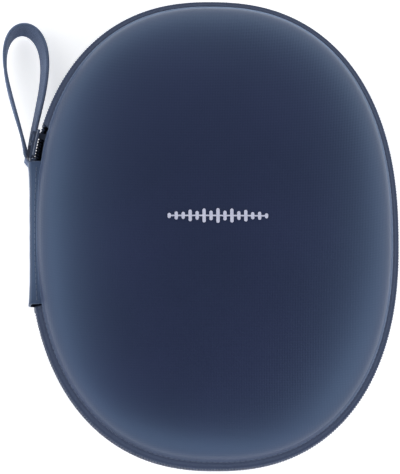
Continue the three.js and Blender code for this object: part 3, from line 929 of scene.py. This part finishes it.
def pocket_trim():
    line = [
        (-0.3, -0.2), (-0.3, 0.6), (-0.8, 1), (-1.4, 0.6), (-1.4, -0.6),
        (-0.8, -1.1), (1, -1.1), (1.4, -0.6), (1, -0.2),
    ]
    profile = rounded([(POCKET_INSET + i, POCKET_Z + h) for i, h in line], 0.3)
    edge = outline_band("lid_edge_tape", profile, pocket_angles(161), BINDING)
    finish_piece(edge, "lid", "webbing", "pocket_binding")
    (half_span,), _ = rim(np.array([pocket_angles(2)[0]]), POCKET_INSET)
    span = half_span - 1.8
    section = rounded(
        [(0.1, -1.4), (1, -1.8), (7, -1.8), (7.6, -1.4), (7.6, 1.6), (7, 2), (1, 2), (0.1, 1.6)], 0.6, 4
    )
    rows = []
    for x in np.linspace(-span, span, 420):
        pleat = 0.22 * math.sin(x * 2.1) + 0.1 * math.sin(x * 3.7 + 1)
        rows.append([(x, POCKET_TOP_Y + y, POCKET_Z + h * (0.9 + 0.1 * pleat / 0.3)) for y, h in section])
    elastic = tube_object("pocket_hem", rows, BINDING, with_uv=True)
    finish_piece(elastic, "lid", "webbing", "pocket_elastic")


def cushion():
    sides, levels = 120, 60
    points = []
    for k in range(levels):
        t = k / (levels - 1)
        scale = 0.93 + 0.07 * math.sin(min(t / 0.3, 1) * math.pi / 2)
        if t > 0.3:
            scale = max(0.0, 1 - ((t - 0.3) / 0.7) ** 3.2) ** 0.5
            scale = 0.1 + 0.9 * scale
        for i in range(sides):
            a = TAU * i / sides
            c, s = math.cos(a), math.sin(a)
            x = PAD_HALF[0] * scale * math.copysign(abs(c) ** 0.8, c)
            y = PAD_HALF[1] * scale * math.copysign(abs(s) ** 0.8, s)
            points.append((x, PAD_CENTRE_Y + y, PAD_BOTTOM + (PAD_TOP - PAD_BOTTOM) * t))
    obj = add_object("divider_cushion", points, tube_faces(levels, sides, False), VELOUR)
    finish_piece(obj, "base", "lining", "divider_pad")


# ---- Mark ----------------------------------------------------------------------------------


def lid_height(x, y):
    edge = PARTING_Z + RIM_GAP
    (ex,), (ey,) = rim(np.array([math.atan2(y, x)]), WALL_INSET)
    t = min(math.hypot(x, y) / math.hypot(ex, ey), 1)
    return edge + (CASE_HEIGHT - edge) * dome_rise(t)


def mark_outline():
    top = []
    half = MARK_BAR_WIDTH / 2
    for i in range(MARK_BARS):
        x = (i - (MARK_BARS - 1) / 2) * MARK_PITCH
        swell = math.sin(math.pi * (i + 1) / (MARK_BARS + 1))
        beat = 1 if i % 2 else 0.55
        rise = MARK_HEIGHT / 2 * (0.26 + 0.74 * swell * beat)
        top.append((x - half, MARK_LINE / 2))
        for a in np.linspace(math.pi, 0, 9):
            top.append((x + half * math.cos(a), rise - half + half * math.sin(a)))
        top.append((x + half, MARK_LINE / 2))
    return top + [(x, -y) for x, y in reversed(top)]


def mark():
    plan = mark_outline()
    bm = bmesh.new()
    corners = [bm.verts.new((x, y, 0)) for x, y in plan]
    face = bm.faces.new(corners)
    bmesh.ops.triangulate(bm, faces=[face])
    made = bmesh.ops.extrude_face_region(bm, geom=list(bm.faces))
    raised = {v for v in made["geom"] if isinstance(v, bmesh.types.BMVert)}
    for v in bm.verts:
        x, y = MARK_CENTRE[0] + v.co.x, MARK_CENTRE[1] + v.co.y
        lift = MARK_LIFT if v in raised else -MARK_SINK
        v.co = Vector((x, y, lid_height(x, y) + lift)) * MM
    bmesh.ops.recalc_face_normals(bm, faces=bm.faces)
    mesh = bpy.data.meshes.new("lid_mark")
    bm.to_mesh(mesh)
    bm.free()
    mesh.materials.append(PRINT)
    obj = bpy.data.objects.new("lid_mark", mesh)
    bpy.context.scene.collection.objects.link(obj)
    finish_piece(obj, "lid", "mark_print", "lid_emblem")


# ---- Stage ---------------------------------------------------------------------------------


def camera():
    """A long lens nearly overhead, a little towards -Y and -X, turned by ROLL."""
    along_x = Vector((math.cos(TILT_X), 0, math.sin(TILT_X)))
    along_y = Vector((0, math.cos(TILT_Y), math.sin(TILT_Y)))
    back = along_x.cross(along_y).normalized()
    up = math.sin(ROLL) * along_x + math.cos(ROLL) * along_y
    up = (up - back * up.dot(back)).normalized()
    right = up.cross(back)
    target = Vector((0, 0, SIGHT_Z)) + right * AIM_SHIFT[0] + up * AIM_SHIFT[1]
    data = bpy.data.cameras.new("camera")
    data.sensor_width = 36
    data.lens = data.sensor_width * CAMERA_DISTANCE / VIEW_HEIGHT
    data.clip_end = 100
    obj = bpy.data.objects.new("camera", data)
    matrix = Matrix((right, up, back)).transposed().to_4x4()
    matrix.translation = (target + back * CAMERA_DISTANCE) * MM
    obj.matrix_world = matrix
    bpy.context.scene.collection.objects.link(obj)
    bpy.context.scene.camera = obj


def floor():
    s = Shader("floor_white", 0.9, Specular_IOR_Level=0.1)
    s.colours(s.noise(s.coords(), 3, 2), (0.93, 0.93, 0.935), (0.95, 0.95, 0.955))
    s.bsdf.inputs["Emission Color"].default_value = (1, 1, 1, 1)
    s.bsdf.inputs["Emission Strength"].default_value = FLOOR_GLOW
    corners = [(-1, -1), (1, -1), (1, 1), (-1, 1)]
    points = [(x * FLOOR_HALF, y * FLOOR_HALF, 0) for x, y in corners]
    obj = add_object("floor", points, [(0, 1, 2, 3)], s.material, smooth=False)


def area_light(name, place, size, power):
    """A rectangular light aimed at the case."""
    data = bpy.data.lights.new(name, "AREA")
    data.shape = "RECTANGLE"
    data.size, data.size_y = size
    data.energy = power
    obj = bpy.data.objects.new(name, data)
    obj.location = Vector(place)
    obj.rotation_euler = (Vector(LIGHT_AIM) - Vector(place)).to_track_quat("-Z", "Y").to_euler()
    bpy.context.scene.collection.objects.link(obj)


def sky():
    """A white tent round the object: bright walls, a dimmer top."""
    world = bpy.data.worlds.new("studio")
    world.use_nodes = True
    tree = world.node_tree
    background = tree.nodes["Background"]
    background.inputs["Color"].default_value = (0.96, 0.98, 1.0, 1)
    where = tree.nodes.new("ShaderNodeTexCoord")
    split = tree.nodes.new("ShaderNodeSeparateXYZ")
    fade = tree.nodes.new("ShaderNodeMapRange")
    fade.interpolation_type = "SMOOTHSTEP"
    fade.inputs["From Min"].default_value = 0.2
    fade.inputs["From Max"].default_value = 0.95
    fade.inputs["To Min"].default_value = HORIZON_LIGHT
    fade.inputs["To Max"].default_value = ZENITH_LIGHT
    tree.links.new(where.outputs["Generated"], split.inputs["Vector"])
    tree.links.new(split.outputs["Z"], fade.inputs["Value"])
    tree.links.new(fade.outputs["Result"], background.inputs["Strength"])
    bpy.context.scene.world = world


def lights():
    sky()
    area_light("key", (-0.95, 0.1, 0.85), (0.8, 1.0), 2.6)
    area_light("fill", (0.85, -0.35, 0.8), (0.8, 0.8), 2.6)
    area_light("front", (-0.1, -1.0, 0.8), (1.0, 0.6), 2)
    bpy.context.scene.view_settings.view_transform = "Standard"


# ---- Build ---------------------------------------------------------------------------------

camera()
floor()
lights()
shells()
zipper()
tape_stitches()
hardware()
spine()
carry_loop()
pocket_trim()
pocket()
cushion()
mark()
